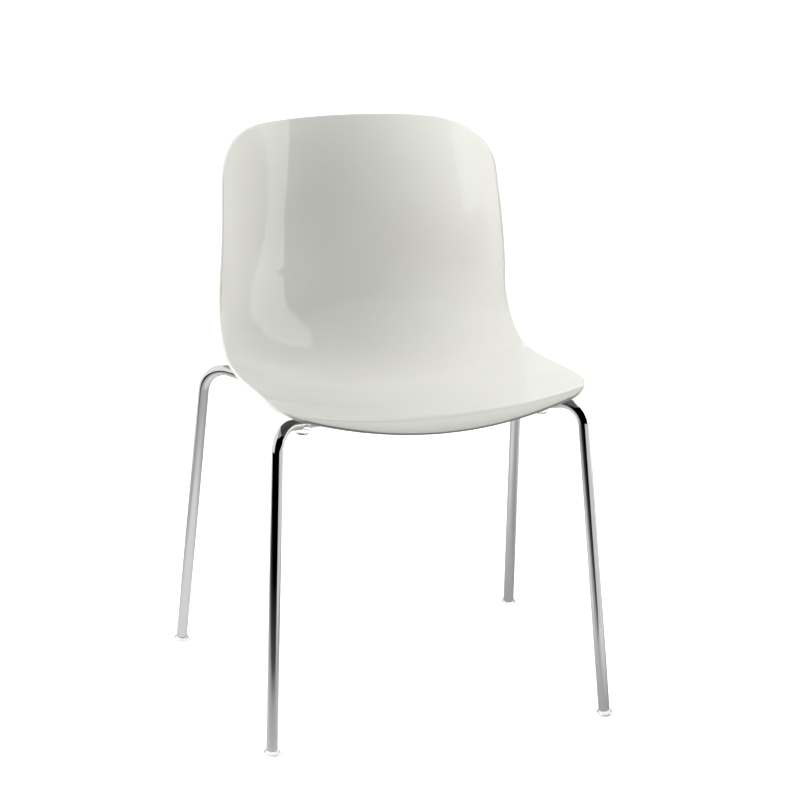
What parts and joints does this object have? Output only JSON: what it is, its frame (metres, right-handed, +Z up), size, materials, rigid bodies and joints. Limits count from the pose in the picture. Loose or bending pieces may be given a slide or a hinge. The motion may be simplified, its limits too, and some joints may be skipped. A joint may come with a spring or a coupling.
{
  "type": "stacking chair",
  "caption": "Stacking chair: moulded plastic shell with a dished seat, rolled front edge and wrapped back, on splayed legs of bent chromed tube with clear plastic feet.",
  "frame": {"origin": "on the floor, under the middle of the chair's width and depth", "axes": "+Z up, -Y towards the sitter's front, +X to the right in a view from the front"},
  "size_m": [0.5538, 0.5377, 0.7935],
  "materials": {
    "shell_plastic": "pale warm grey polypropylene with a soft sheen",
    "chromed_tube": "bright chrome plate on bent steel tube",
    "chromed_bar": "chrome plate on flat steel bar, duller than the tube",
    "clear_plastic": "clear moulded plastic",
    "insert_brass": "turned brass",
    "zinc_steel": "zinc-plated steel"
  },
  "bodies": {
    "root": {"seat_shell": "shell_plastic", "left_side_tube": "chromed_tube", "right_side_tube": "chromed_tube", "front_crossbar": "chromed_bar", "rear_crossbar": "chromed_bar", "front_left_foot": "clear_plastic", "front_right_foot": "clear_plastic", "rear_left_foot": "clear_plastic", "rear_right_foot": "clear_plastic", "left_stacking_buffer": "clear_plastic", "right_stacking_buffer": "clear_plastic", "front_left_insert": "insert_brass", "front_right_insert": "insert_brass", "rear_left_insert": "insert_brass", "rear_right_insert": "insert_brass", "front_left_washer": "zinc_steel", "front_right_washer": "zinc_steel", "rear_left_washer": "zinc_steel", "rear_right_washer": "zinc_steel", "front_left_screw": "zinc_steel", "front_right_screw": "zinc_steel", "rear_left_screw": "zinc_steel", "rear_right_screw": "zinc_steel"}
  },
  "joints": []
}
